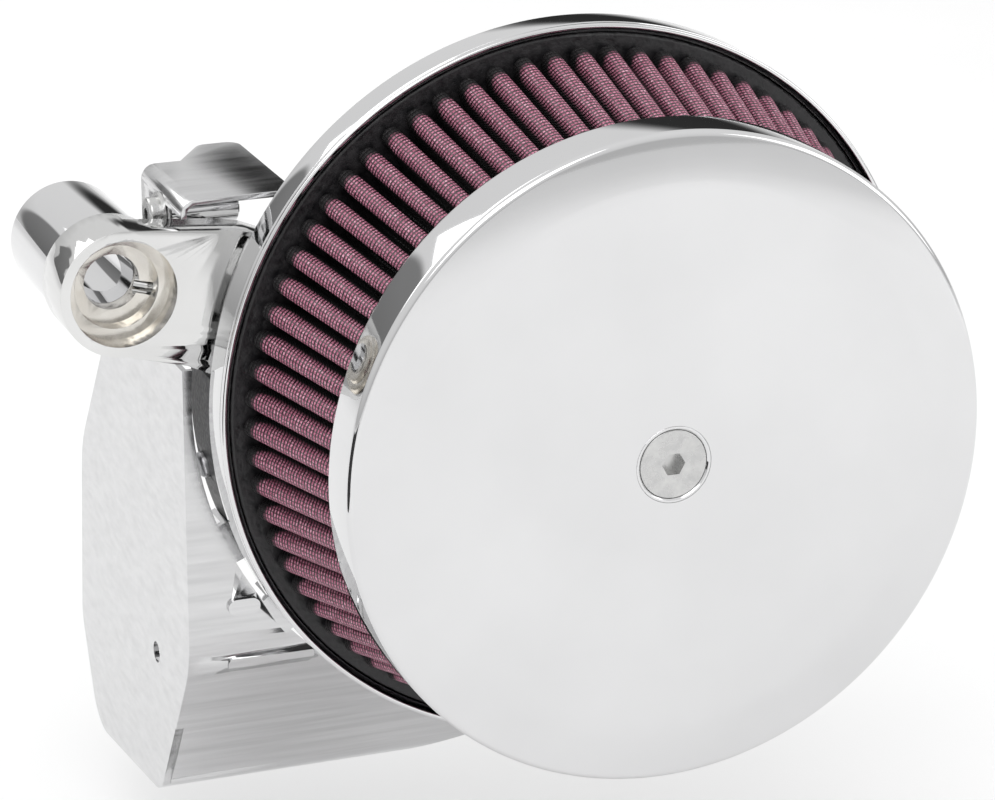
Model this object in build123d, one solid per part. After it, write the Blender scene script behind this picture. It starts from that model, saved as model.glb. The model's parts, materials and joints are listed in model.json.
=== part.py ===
from build123d import *
import math
import os

# Motorcycle air cleaner: a tapered round filter element clamped between a chromed back
# plate and a chromed front cover, on a black base plate whose neck meets the throttle body.
# A polished arm carries the breather bolt boss; a folded shroud hides the throttle body.
# Millimetres, +Z up.  The filter axis is the Y axis and the cover faces -Y.
# The origin is the centre of the neck's bore, on the face that meets the throttle body.

os.makedirs("parts", exist_ok=True)

# Throttle neck and black base plate
bore_radius = 27.0
neck_wall = 4.0
neck_length = 24.3
neck_flange_radius = 44.0
neck_flange_thickness = 6.0
throttle_flange_thickness = 8.0
throttle_bolt_circle = 74.0
throttle_bolt_radius = 3.25
neck_screw_circle = 76.0
base_radius = 88.0
lobe_radius = 97.5
lobe_start = 175.0
lobe_end = 320.0
base_thickness = 17.7
base_web = 8.7
base_rim_width = 7.5
base_hub_radius = 50.0
base_hole_margin = 2.0
base_rib_width = 3.0
base_rib_count = 12
boss_column_radius = 7.0

# Chromed back plate: a shallow pan with a rolled lip
pan_radius = 99.3
pan_depth = 15.9
pan_floor = 6.8
pan_seat_radius = 96.5
pan_seat_depth = 4.3
pan_wall = 2.6
pan_step = 0.3
pan_step_height = 1.5
pan_bevel = 1.9
pan_opening_margin = 3.0
lip_rounding = 0.7

# Filter element
pleat_count = 72
pleat_depth = 12.3
pleat_half_width = 2.3
ridge_radius = 94.0
taper = 0.847
media_length = 55.9
base_ring_height = 7.3
front_ring_height = 8.3
ring_gap = 0.3
ring_overhang = 3.0
mesh_thickness = 0.5
mesh_gap = 0.1
pleat_floor = 2.8
cage_thickness = 0.8
cage_rows = 4
cage_holes = 20
cage_hole_radius = 5.0

# Chromed front cover
cover_radius = 87.0
cover_depth = 17.0
cover_plate = 3.0
cover_wall = 2.0
cover_rounding = 1.8
plateau_radius = 73.0
plateau_drop = 1.2
plateau_blend = 50.0
cover_hub_radius = 14.0
cover_hub_depth = 8.0
rim_rounding = 0.7

# Cover screw, its countersunk seat, the post and the bridge that hold it
screw_radius = 4.7625
screw_length = 32.0
screw_head_radius = 9.15
screw_head_rim = 0.5
screw_cone_degrees = 41.0
screw_socket = 5.56
screw_recess = 0.25
seat_radius = 10.5
seat_depth = 6.4
seat_bevel = 0.8
thread_clearance = 0.04
slip = 0.1
post_radius = 7.0
post_hole_depth = 28.0
bridge_hub_radius = 12.0
bridge_reach = 45.0
bridge_width = 11.0
bridge_thickness = 6.0
bridge_screw_radius = 39.0

# Arm with the breather bolt boss
arm_angle = 163.9
arm_thickness = 12.0
gallery_rib_width = 10.0
boss_distance = 124.8
boss_radius = 17.0
boss_bore_radius = 7.5
boss_step_radius = 11.3
boss_step_depth = 12.0
boss_mouth_radius = 14.3
boss_mouth_depth = 7.0
pad_inner_radius = 98.0
pad_width = 6.3
pad_upper_angle = 150.8
pad_lower_angle = 173.9
pad_corner_slope = 1.2
foot_radius = 51.0
foot_half_width = 17.0
foot_screw_offset = 11.5
foot_screw_radius = 59.0
gallery_radius = 2.5
gallery_depth = 13.8
gallery_outlet_radius = 62.0
scoop_radius = 5.1
scoop_depth = 4.0
arm_clearance = 0.25
arm_edge_rounding = 0.8

# Spacer tube behind the boss
tube_radius = 15.6
tube_length = 38.5
tube_rounding = 0.6

# Folded throttle shroud
sheet = 1.5
shroud_left = -103.0
shroud_right = 35.0
shroud_top = 9.5
shroud_front_gap = 6.7
shroud_cutout_margin = 1.3
shroud_knee = -75.0
shroud_toe_run = 31.3
shroud_toe = -125.0
shroud_floor_end = 30.0
shroud_floor_drop = 2.4
shroud_heel = -131.0
shroud_depth = 111.0
shroud_flange_right = -45.0
shroud_tail_rise = 17.0
shroud_fold_radius = 2.5
bead_height = 4.6
bead_rise = 1.2
bead_left = -92.0
bead_levels = (-59.0, -76.0)
bead_cutout_gap = 1.6
side_hole_radius = 3.0
side_hole_back = 32.2
side_hole_level = -82.8
tab_width = 12.0
tab_length = 10.0
tab_angles = (204.0, 219.0)
rim_screw_angles = (191.4, 250.0, 300.0)

# Top support bracket
bracket_sheet = 1.6
bracket_top = 57.0
bracket_left = -103.0
bracket_width = 31.0
bracket_front_gap = 3.7
bracket_length = 37.0
bracket_tongue = 13.4
bracket_tongue_left = 11.0
bracket_chamfer = 9.0
bracket_corner = 4.0
bracket_bend = 4.0
bracket_arm_gap = 0.4
bracket_flange_bottom = 34.0
bracket_foot_width = 14.0
foot_boss_radius = 5.5
barrel_radius = 4.0
barrel_length = 19.0
barrel_level = 48.7
barrel_back = 5.0
barrel_thread_depth = 8.5

# Small fasteners
m5_radius = 2.5
m5_head_radius = 4.4
m5_head_height = 3.0
m5_socket = 3.0
m4_radius = 2.0
m4_head_radius = 3.6
m4_head_height = 2.0
m4_socket = 2.5
washer_radius = 5.6
washer_thickness = 1.0
hole_margin = 0.3
o_ring_radius = 1.2
o_ring_play = 0.05

# Places along the axis, stacked forwards from the throttle face
base_rear = -neck_length
base_front = base_rear - base_thickness
floor_front = base_front - pan_floor
lip_front = base_front - pan_depth
media_rear = floor_front - base_ring_height
media_front = media_rear - media_length
cover_inside = media_front - front_ring_height
cover_face = cover_inside - cover_plate
cover_rim = cover_face + cover_depth
hub_rear = cover_face + cover_hub_depth
bridge_front = floor_front - bridge_thickness
shroud_front = base_front + shroud_front_gap
bracket_front = base_front + bracket_front_gap
tube_rear = base_rear + tube_length

# Radii that follow from the sizes above
base_hole_radius = bore_radius + base_hole_margin
pan_opening_radius = bore_radius + pan_opening_margin
pan_inner_radius = pan_radius - pan_wall
shroud_cutout_radius = pan_radius + shroud_cutout_margin
ring_outer_radius = pan_inner_radius - ring_gap
root_radius = ridge_radius - pleat_depth
media_inner_radius = root_radius - pleat_floor
cage_outer_radius = media_inner_radius - mesh_gap
cage_inner_radius = cage_outer_radius - cage_thickness
plate_screw_radius = (base_hub_radius + media_inner_radius - ring_overhang) / 2
base_hub_hole_radius = m5_radius + thread_clearance


def polar(radius, degrees):
    """The (x, z) point at a radius and an angle about the filter axis."""
    return (
        radius * math.cos(math.radians(degrees)),
        radius * math.sin(math.radians(degrees)),
    )


def column(radius, rear, front, x=0.0, z=0.0):
    """A round bar along Y, from rear forwards to front."""
    bar = Cylinder(radius, rear - front, align=(Align.CENTER, Align.CENTER, Align.MIN))
    return Plane.XZ.offset(-rear) * Pos(x, z, 0) * bar


def prism(face, rear, front):
    """A face drawn in X and Z, extruded along Y from rear forwards to front."""
    return Plane.XZ.offset(-rear) * extrude(face, rear - front)


def outline(points, roundings=None):
    """A face from its corners; roundings maps a corner's index to its radius."""
    face = make_face(Polyline(*points, close=True))
    for index, radius in (roundings or {}).items():
        corner = face.vertices().sort_by_distance((*points[index], 0))[0]
        face = fillet(corner, radius)
    return face


def turned(points, roundings=None):
    """A solid turned about the filter axis from (radius, y) corners."""
    return revolve(outline(points, roundings), Axis.Y)


def cut_all(solid, tools):
    """The solid with every tool taken away from it."""
    for tool in tools:
        solid = solid - tool
    return solid


def socket_screw(radius, length, head_radius, head_height, socket, crown):
    """A round-headed socket screw along -Z, its head standing on the XY plane."""
    foot = (Align.CENTER, Align.CENTER, Align.MIN)
    head = Cylinder(head_radius, head_height, align=foot)
    head = fillet(head.edges().group_by(Axis.Z)[-1], crown)
    shank = Pos(0, 0, -length) * Cylinder(radius, length, align=foot)
    hexagon = RegularPolygon(socket / 2, 6, major_radius=False)
    recess = Pos(0, 0, head_height * 0.35) * extrude(hexagon, head_height)
    return head + shank - recess


def m5_screw(length):
    """An M5 socket screw."""
    crown = m5_head_height * 0.3
    return socket_screw(m5_radius, length, m5_head_radius, m5_head_height, m5_socket, crown)


def m4_screw(length):
    """An M4 button screw."""
    crown = m4_head_height * 0.7
    return socket_screw(m4_radius, length, m4_head_radius, m4_head_height, m4_socket, crown)


def facing(x, y, z, direction):
    """A plane at a point, its normal along direction."""
    return Plane(origin=(x, y, z), z_dir=direction)


def star(ridge, half_width, root):
    """The closed outline of the pleats, as corners in X and Z."""
    crown = half_width * 0.6
    corners = []
    for pleat in range(pleat_count):
        middle = 2 * math.pi * pleat / pleat_count
        foot_turn = math.asin(half_width / root)
        shoulder_turn = math.asin(half_width / (ridge - crown))
        for radius, turn in (
            (root, -foot_turn),
            (ridge - crown, -shoulder_turn),
            (ridge, 0.0),
            (ridge - crown, shoulder_turn),
            (root, foot_turn),
        ):
            corners.append((radius * math.cos(middle + turn), radius * math.sin(middle + turn)))
    return corners


def tapered(corners):
    """A solid between the corners at the media's rear and the same, shrunk, at its front."""
    rear = make_face(Polyline(*corners, close=True))
    front = scale(rear, taper)
    sections = [Plane.XZ.offset(-media_rear) * rear, Plane.XZ.offset(-media_front) * front]
    return loft(sections, ruled=True)


def tapered_bore(radius):
    """A cone at the same taper, running a little past both ends of the media."""
    slope = radius * (1 - taper) / media_length
    past = 1.0
    return turned(
        [
            (0, media_rear + past),
            (radius + slope * past, media_rear + past),
            (radius * taper - slope * past, media_front - past),
            (0, media_front - past),
        ]
    )


def plate_screw_places():
    """The four screws that clamp the back plate to the base plate."""
    return [polar(plate_screw_radius, 45 + 90 * turn) for turn in range(4)]


def bridge_angles():
    """The three legs of the post bridge."""
    return [90 + 120 * turn for turn in range(3)]


def neck_screw_places():
    """The three screws that hold the neck to the base plate."""
    return [polar(neck_screw_circle / 2, 30 + 120 * turn) for turn in range(3)]


def throttle_bolt_places():
    """The three bolt holes of the throttle flange."""
    return [polar(throttle_bolt_circle / 2, 90 + 120 * turn) for turn in range(3)]


def foot_screw_places():
    """The two screws that hold the arm's foot."""
    along = Vector(*polar(1.0, arm_angle))
    across = Vector(-along.Y, along.X)
    places = []
    for side in (-1, 1):
        point = along * foot_screw_radius + across * foot_screw_offset * side
        places.append((point.X, point.Y))
    return places


boss_x, boss_z = polar(boss_distance, arm_angle)
outlet_x, outlet_z = polar(gallery_outlet_radius, arm_angle)


def make_neck():
    """Neck between the base plate and the throttle body, with a flange at each end."""
    tube_outer = bore_radius + neck_wall
    neck = turned(
        [
            (bore_radius, base_rear),
            (neck_flange_radius, base_rear),
            (neck_flange_radius, base_rear + neck_flange_thickness),
            (tube_outer, base_rear + neck_flange_thickness),
            (tube_outer, -throttle_flange_thickness),
            (neck_flange_radius, -throttle_flange_thickness),
            (neck_flange_radius, 0),
            (bore_radius, 0),
        ],
        {2: 1.0, 3: 1.5, 4: 1.5, 5: 1.0},
    )
    holes = [
        column(m4_radius + hole_margin, 0, base_rear, x, z) for x, z in neck_screw_places()
    ]
    access = m4_head_radius + hole_margin
    holes += [
        column(access, 0, -throttle_flange_thickness, x, z) for x, z in neck_screw_places()
    ]
    holes += [
        column(throttle_bolt_radius, 0, -throttle_flange_thickness, x, z)
        for x, z in throttle_bolt_places()
    ]
    return cut_all(neck, holes) - neck_groove()


def neck_o_ring_radius():
    """The seal runs midway between the bore and the screws."""
    return (bore_radius + neck_screw_circle / 2 - m4_radius - hole_margin) / 2


def neck_groove():
    """The groove that holds the neck's seal."""
    reach = o_ring_radius + o_ring_play
    middle = neck_o_ring_radius()
    return turned(
        [
            (middle - reach, base_rear),
            (middle + reach, base_rear),
            (middle + reach, base_rear + 2 * reach),
            (middle - reach, base_rear + 2 * reach),
        ]
    )


def make_neck_o_ring():
    """Seal between the neck and the base plate."""
    ring = Torus(neck_o_ring_radius(), o_ring_radius)
    return Pos(0, base_rear + o_ring_radius + o_ring_play, 0) * Rot(90, 0, 0) * ring


def arm_outline():
    """The arm's outline in X and Z: web, pad and foot, without the round boss."""
    along = Vector(*polar(1.0, arm_angle))
    across = Vector(-along.Y, along.X)
    inner = along * foot_radius
    upper = inner - across * foot_half_width
    lower = inner + across * foot_half_width
    pad_radius = pad_inner_radius + pad_width
    return [
        (boss_x, boss_z + boss_radius),
        polar(pad_radius, pad_upper_angle + pad_corner_slope),
        polar(pad_inner_radius, pad_upper_angle),
        (upper.X, upper.Y),
        (lower.X, lower.Y),
        polar(pad_inner_radius, pad_lower_angle),
        polar(pad_radius, pad_lower_angle - pad_corner_slope),
        (boss_x, boss_z - boss_radius),
    ]


def make_arm():
    """Polished arm: boss, scooped web, pad against the pan's rim, and a foot behind it."""
    web = prism(outline(arm_outline()), base_front + arm_thickness, base_front)
    boss = column(boss_radius, base_rear, base_front, boss_x, boss_z)
    scoop_reach = math.sqrt(scoop_depth * (2 * scoop_radius - scoop_depth))
    scoop_middle = pad_inner_radius + pad_width + scoop_reach
    scoop = Pos(scoop_middle, base_front - scoop_radius + scoop_depth) * Circle(scoop_radius)
    web = web - (revolve(scoop, Axis.Y) - boss)
    foot_x, foot_z = bracket_foot_place()
    arm = web + boss + gallery_rib(boss_distance)
    arm = arm + column(foot_boss_radius, base_rear, base_front + arm_thickness, foot_x, foot_z)
    arm = arm - column(boss_mouth_radius, base_front + boss_mouth_depth, base_front, boss_x, boss_z)
    arm = arm - column(boss_step_radius, base_front + boss_step_depth, base_front, boss_x, boss_z)
    arm = arm - column(boss_bore_radius, base_rear, base_front, boss_x, boss_z)
    gallery_y = base_front + gallery_depth
    length = boss_distance - gallery_outlet_radius
    start = facing(outlet_x, gallery_y, outlet_z, (*(boss_x - outlet_x, 0, boss_z - outlet_z),))
    bar = Cylinder(gallery_radius, length, align=(Align.CENTER, Align.CENTER, Align.MIN))
    arm = arm - start * bar
    arm = arm - column(gallery_radius, gallery_y, base_front, outlet_x, outlet_z)
    for x, z in foot_screw_places():
        arm = arm - column(base_hub_hole_radius, base_rear, base_front, x, z)
    arm = arm - breather_groove() - bracket_foot_hole()
    return arm


def gallery_rib(reach):
    """The rib behind the arm's web that the gallery runs through."""
    length = reach - foot_radius
    x, z = polar((reach + foot_radius) / 2, arm_angle)
    depth = base_thickness - arm_thickness + 1.0
    rib = Box(length, depth, gallery_rib_width)
    return Pos(x, base_rear - depth / 2, z) * Rot(0, -arm_angle, 0) * rib


def breather_groove():
    """The groove in the arm's face around the gallery's outlet."""
    reach = o_ring_radius + o_ring_play
    middle = gallery_radius + 2 * reach
    outer = column(middle + reach, base_front + 2 * reach, base_front, outlet_x, outlet_z)
    inner = column(middle - reach, base_front + 2 * reach, base_front, outlet_x, outlet_z)
    return outer - inner


def make_breather_o_ring():
    """Seal around the gallery's outlet."""
    reach = o_ring_radius + o_ring_play
    ring = Torus(gallery_radius + 2 * reach, o_ring_radius)
    return Pos(outlet_x, base_front + reach, outlet_z) * Rot(90, 0, 0) * ring


def make_base_plate():
    """Black cast plate with a rim, a hub, ribs and a pocket for the arm's foot."""
    pocket_front = base_front + base_web
    rim_inner = base_radius - base_rim_width
    plate = turned(
        [
            (base_hole_radius, base_front),
            (base_radius, base_front),
            (base_radius, base_rear),
            (rim_inner, base_rear),
            (rim_inner, pocket_front),
            (base_hub_radius, pocket_front),
            (base_hub_radius, base_rear),
            (base_hole_radius, base_rear),
        ],
        {2: 1.0, 4: 1.5, 5: 1.5},
    )
    rib_length = rim_inner - base_hub_radius + 1.0
    rib_middle = (rim_inner + base_hub_radius) / 2
    for turn in range(base_rib_count):
        x, z = polar(rib_middle, 15 + 360 / base_rib_count * turn)
        rib = Box(rib_length, base_thickness - base_web, base_rib_width)
        middle_y = (pocket_front + base_rear) / 2
        plate = plate + Pos(x, middle_y, z) * Rot(0, -15 - 360 / base_rib_count * turn, 0) * rib
    for x, z in plate_screw_places():
        plate = plate + column(boss_column_radius, base_rear, base_front, x, z)
    plate = plate + lobe()
    for x, z in plate_screw_places():
        plate = plate - column(base_hub_hole_radius, base_rear, base_front, x, z)
    for angle in bridge_angles():
        x, z = polar(bridge_screw_radius, angle)
        plate = plate - column(base_hub_hole_radius, base_rear - 4.0, base_front, x, z)
    for x, z in neck_screw_places():
        plate = plate - column(m4_radius + thread_clearance, base_rear, base_rear - 10.0, x, z)
    seat = offset(outline(arm_outline()), arm_clearance, kind=Kind.INTERSECTION)
    plate = plate - prism(seat, base_rear + 1.0, base_front - 1.0)
    for angle in (*tab_angles, *rim_screw_angles):
        plate = plate - rim_hole(angle)
    return plate


rim_screw_level = base_rear - 5.0


def lobe():
    """The wider stretch of the rim that carries the shroud."""
    inner = base_radius - base_rim_width / 2
    section = Pos((inner + lobe_radius) / 2, (base_front + base_rear) / 2) * Rectangle(
        lobe_radius - inner, base_thickness
    )
    return Rot(0, -lobe_start, 0) * revolve(section, Axis.Y, lobe_start - lobe_end)


def rim_plane(angle, radius):
    """A plane on the base plate's rim, its normal pointing outwards."""
    x, z = polar(radius, angle)
    direction = polar(1.0, angle)
    return facing(x, rim_screw_level, z, (direction[0], 0, direction[1]))


def rim_hole(angle):
    """A threaded hole in the base plate's rim."""
    depth = base_rim_width - 1.0
    bar = Cylinder(m4_radius + thread_clearance, 2 * depth)
    return rim_plane(angle, lobe_radius) * bar


def make_back_plate():
    """Chromed pan that the filter element sits in."""
    step_front = lip_front + pan_step_height
    wall_rear = base_front - pan_seat_depth
    pan = turned(
        [
            (pan_opening_radius, base_front),
            (pan_seat_radius, base_front),
            (pan_seat_radius, wall_rear),
            (pan_radius, wall_rear),
            (pan_radius, step_front),
            (pan_radius - pan_step, step_front - pan_step / 2),
            (pan_radius - pan_step, lip_front),
            (pan_inner_radius + pan_bevel, lip_front),
            (pan_inner_radius, lip_front + pan_bevel),
            (pan_inner_radius, floor_front),
            (pan_opening_radius, floor_front),
        ],
        {3: lip_rounding, 6: pan_step / 2},
    )
    holes = [(x, z, m5_radius) for x, z in plate_screw_places() + foot_screw_places()]
    holes += [(*polar(bridge_screw_radius, angle), m5_radius) for angle in bridge_angles()]
    holes.append((outlet_x, outlet_z, gallery_radius))
    for x, z, radius in holes:
        pan = pan - column(radius + hole_margin, base_front, floor_front, x, z)
    return pan


def front_screws(places, under_head, length):
    """M5 screws that go in along +Y, as one group."""
    screws = []
    for x, z in places:
        screws.append(facing(x, under_head, z, (0, -1, 0)) * m5_screw(length))
    return Compound(children=screws)


def make_neck_screws():
    """Screws from behind through the neck's front flange."""
    screws = []
    head = base_rear + neck_flange_thickness
    for x, z in neck_screw_places():
        screws.append(facing(x, head, z, (0, 1, 0)) * m4_screw(neck_flange_thickness + 8.0))
    return Compound(children=screws)


def make_bridge():
    """Three-legged bridge over the air opening, with a round hub for the post."""
    bridge = column(bridge_hub_radius, floor_front, bridge_front)
    for angle in bridge_angles():
        x, z = polar(bridge_reach / 2, angle)
        leg = Box(bridge_reach, bridge_thickness, bridge_width)
        middle = (floor_front + bridge_front) / 2
        bridge = bridge + Pos(x, middle, z) * Rot(0, -angle, 0) * leg
        x, z = polar(bridge_reach, angle)
        bridge = bridge + column(bridge_width / 2, floor_front, bridge_front, x, z)
    for angle in bridge_angles():
        x, z = polar(bridge_screw_radius, angle)
        bridge = bridge - column(m5_radius + hole_margin, floor_front, bridge_front, x, z)
    return bridge


def make_post():
    """Round post with a blind thread for the cover screw."""
    post = turned(
        [(0, bridge_front), (post_radius, bridge_front), (post_radius, hub_rear), (0, hub_rear)],
        {2: 0.8},
    )
    hole = column(screw_radius + thread_clearance, hub_rear + post_hole_depth, hub_rear)
    return post - hole


def make_media():
    """Pleated cotton media, with a plain tapered bore."""
    ridge = ridge_radius - mesh_thickness - mesh_gap
    half = pleat_half_width - mesh_thickness - mesh_gap
    root = root_radius - mesh_thickness - mesh_gap
    return tapered(star(ridge, half, root)) - tapered_bore(media_inner_radius)


def make_mesh():
    """Wire mesh that follows the outside of the pleats."""
    outside = tapered(star(ridge_radius, pleat_half_width, root_radius))
    ridge = ridge_radius - mesh_thickness
    half = pleat_half_width - mesh_thickness
    inside = tapered(star(ridge, half, root_radius - mesh_thickness))
    return outside - inside


def make_cage():
    """Perforated liner inside the pleats."""
    ends = [(media_rear, 1.0), (media_front, taper)]
    points = [(cage_outer_radius * share, y) for y, share in ends]
    points += [(cage_inner_radius * share, y) for y, share in reversed(ends)]
    cage = turned(points)
    pitch = media_length / cage_rows
    for row in range(cage_rows):
        y = media_rear - pitch * (row + 0.5)
        for hole in range(cage_holes):
            angle = 360 / cage_holes * (hole + 0.5 * (row % 2))
            direction = polar(1.0, angle)
            x, z = polar(cage_outer_radius, angle)
            bar = Cylinder(cage_hole_radius, cage_outer_radius)
            cage = cage - facing(x, y, z, (direction[0], 0, direction[1])) * bar
    return cage


def make_base_ring():
    """Moulded rubber ring at the element's base."""
    inner = cage_inner_radius - ring_overhang
    return turned(
        [
            (inner, floor_front),
            (ring_outer_radius, floor_front),
            (ring_outer_radius, media_rear),
            (inner, media_rear),
        ],
        {1: 0.8, 2: 0.8, 3: 1.5},
    )


def make_front_ring():
    """Moulded rubber ring at the element's front, sealed against the cover."""
    inner = (cage_inner_radius - ring_overhang) * taper
    outer = ridge_radius * taper + ring_overhang
    return turned(
        [
            (inner, media_front),
            (outer, media_front),
            (outer, cover_inside),
            (inner, cover_inside),
        ],
        {1: 1.0, 2: 1.0, 3: 1.0},
    )


def make_cover():
    """Chromed cover: flat plateau, gently sloping border, short wall and a thick hub."""
    inner = cover_radius - cover_wall
    cover = turned(
        [
            (0, cover_face),
            (plateau_radius, cover_face),
            (cover_radius, cover_face + plateau_drop),
            (cover_radius, cover_rim),
            (inner, cover_rim),
            (inner, cover_inside),
            (cover_hub_radius, cover_inside),
            (cover_hub_radius, hub_rear),
            (0, hub_rear),
        ],
        {1: plateau_blend, 2: cover_rounding, 3: rim_rounding, 4: rim_rounding, 5: 1.0, 7: 1.0},
    )
    cover = cover - column(seat_radius + slip, cover_face + seat_depth, cover_face)
    return cover - column(screw_radius + hole_margin, hub_rear, cover_face)


def head_cone_depth():
    """How deep the screw head's cone runs below its rim."""
    return (screw_head_radius - screw_radius) / math.tan(math.radians(screw_cone_degrees))


def make_seat():
    """Countersunk seat under the screw's head, let into the cover."""
    mouth = screw_head_radius + slip
    rim = cover_face + screw_recess + screw_head_rim
    throat = screw_radius + slip
    bottom = rim + (mouth - throat) / math.tan(math.radians(screw_cone_degrees))
    return turned(
        [
            (seat_radius, cover_face + seat_bevel * 0.4),
            (seat_radius, cover_face + seat_depth),
            (throat, cover_face + seat_depth),
            (throat, bottom),
            (mouth, rim),
            (mouth, cover_face + seat_bevel * 0.5),
            (mouth + seat_bevel * 0.5, cover_face),
            (seat_radius - seat_bevel * 0.4, cover_face),
        ]
    )


def make_cover_screw():
    """Flat-head socket screw that clamps the cover."""
    top = cover_face + screw_recess
    rim = top + screw_head_rim
    screw = turned(
        [
            (0, top),
            (screw_head_radius, top),
            (screw_head_radius, rim),
            (screw_radius, rim + head_cone_depth()),
            (screw_radius, cover_face + screw_length),
            (0, cover_face + screw_length),
        ],
        {1: 0.3, 4: 0.8},
    )
    hexagon = RegularPolygon(screw_socket / 2, 6, major_radius=False)
    recess = prism(hexagon, top + screw_socket * 0.6, top)
    return screw - recess


def make_tube():
    """Spacer tube between the boss and the cylinder head."""
    tube = column(tube_radius, tube_rear, base_rear, boss_x, boss_z)
    tube = fillet(tube.edges().filter_by(GeomType.CIRCLE).group_by(Axis.Y)[-1], tube_rounding)
    return tube - column(boss_bore_radius, tube_rear, base_rear, boss_x, boss_z)


def side_profile():
    """The shroud's side outline as (y, z) corners, with the rounding of each corner."""
    front = shroud_front
    rear = front + shroud_depth
    points = [
        (front, shroud_top),
        (front, shroud_knee),
        (front + shroud_toe_run, shroud_toe),
        (rear - 14.0, shroud_heel),
        (rear, shroud_heel + 30.0),
        (rear - 6.0, shroud_top - 55.0),
        (rear - 45.0, shroud_top),
    ]
    return points, {1: 30.0, 2: 12.0, 3: 14.0, 4: 14.0, 5: 30.0, 6: 24.0}


def skin(rise):
    """The shroud's front, knee and toe as a solid filling, grown outwards by rise."""
    front = shroud_front
    toe_y = front + shroud_toe_run
    floor_y = front + shroud_toe_run + shroud_floor_end
    floor_z = shroud_toe - shroud_floor_drop
    lean = math.atan2(shroud_toe_run, shroud_knee - shroud_toe)
    tilt = math.atan2(shroud_floor_drop, shroud_floor_end)
    knee_lift = rise * math.tan(lean / 2)
    toe_turn = math.pi / 2 - lean - tilt
    toe_reach = rise * math.tan(toe_turn / 2)
    toe = Vector(toe_y, shroud_toe)
    outward = Vector(-math.cos(lean), -math.sin(lean))
    onward = Vector(math.sin(lean), -math.cos(lean))
    toe = toe + outward * rise + onward * toe_reach
    points = [
        (front - rise, shroud_top),
        (front - rise, shroud_knee - knee_lift),
        (toe.X, toe.Y),
        (floor_y, floor_z - rise),
        (floor_y, shroud_top),
    ]
    face = outline(points, {1: 30.0 + rise, 2: 12.0 + rise})
    width = shroud_right - shroud_left
    return Plane.YZ.offset(shroud_left) * extrude(face, width)


def make_shroud():
    """Folded sheet cover for the throttle body: front panel, toe, floor flange and side."""
    points, roundings = side_profile()
    side = Plane.YZ.offset(shroud_left) * extrude(outline(points, roundings), sheet)
    wrap = skin(0.0) - skin(-sheet)
    floor_end = shroud_front + shroud_toe_run + shroud_floor_end
    low = shroud_heel - 20.0
    tail = [
        (shroud_flange_right, shroud_toe - shroud_floor_drop - 1.0),
        (shroud_right + 1.0, shroud_toe + shroud_tail_rise),
        (shroud_right + 1.0, low),
        (shroud_flange_right, low),
    ]
    wrap = wrap - prism(outline(tail), floor_end + 1.0, shroud_front - 1.0)
    floor_box = Box(
        shroud_right - shroud_flange_right,
        shroud_floor_end + 20.0,
        20.0,
        align=(Align.MIN, Align.MIN, Align.CENTER),
    )
    floor_start = shroud_front + shroud_toe_run + 2.0
    wrap = wrap - Pos(shroud_flange_right, floor_start, shroud_toe) * floor_box
    for level in bead_levels:
        reach = math.sqrt(shroud_cutout_radius**2 - level**2)
        right = -reach - bead_cutout_gap
        middle = (bead_left + right) / 2
        slot = Pos(middle, level) * SlotOverall(right - bead_left, bead_height)
        bead = (skin(bead_rise) - skin(-sheet / 2)) & prism(slot, floor_end, shroud_front - 5.0)
        wrap = wrap + bead
    shroud = wrap + side
    shroud = shroud - column(shroud_cutout_radius, shroud_front + 20.0, shroud_front - 20.0)
    for angle in tab_angles:
        shroud = shroud + tab(angle)
    mitre = sheet / 2
    slit = Box(3 * sheet, shroud_toe_run, mitre)
    lean = math.degrees(math.atan2(shroud_toe_run, shroud_knee - shroud_toe))
    middle_y = shroud_front + shroud_toe_run * 0.75
    middle_z = shroud_knee + (shroud_toe - shroud_knee) * 0.75
    shroud = shroud - Pos(shroud_left, middle_y, middle_z) * Rot(lean - 90, 0, 0) * slit
    hole_y = shroud_front + side_hole_back
    hole = Cylinder(side_hole_radius, 4 * sheet)
    shroud = shroud - facing(shroud_left, hole_y, side_hole_level, (1, 0, 0)) * hole
    return shroud


def tab(angle):
    """A tab folded back from the cut-out's edge along the base plate's rim."""
    inner = lobe_radius + o_ring_play
    outer = shroud_cutout_radius + sheet
    x, z = polar((inner + sheet / 2), angle)
    middle = (shroud_front + rim_screw_level + tab_length / 2) / 2
    length = rim_screw_level + tab_length / 2 - shroud_front
    strip = Box(sheet, length, tab_width)
    turn = Rot(0, -angle, 0)
    folded = Pos(x, middle, z) * turn * strip
    x, z = polar((inner + outer) / 2, angle)
    root = Pos(x, shroud_front + sheet / 2, z) * turn * Box(outer - inner, sheet, tab_width)
    hole = rim_plane(angle, lobe_radius) * Cylinder(m4_radius + hole_margin, 4 * sheet)
    return folded + root - hole


def radial_screws(angles, seat_radius_mm, length):
    """M4 button screws pointing at the filter axis, as one group."""
    screws = [rim_plane(angle, seat_radius_mm) * m4_screw(length) for angle in angles]
    return Compound(children=screws)


def bracket_plate():
    """The bracket's flat top seen from above, as (x, y) corners with their roundings."""
    left = bracket_left
    right = bracket_left + bracket_width
    front = bracket_front
    rear = front + bracket_length
    tongue = rear + bracket_tongue
    step = left + bracket_tongue_left
    points = [
        (left, front),
        (right, front),
        (right, tongue),
        (step + bracket_chamfer, tongue),
        (step, rear),
        (left, rear),
    ]
    return points, {2: bracket_corner, 3: bracket_corner}


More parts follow.
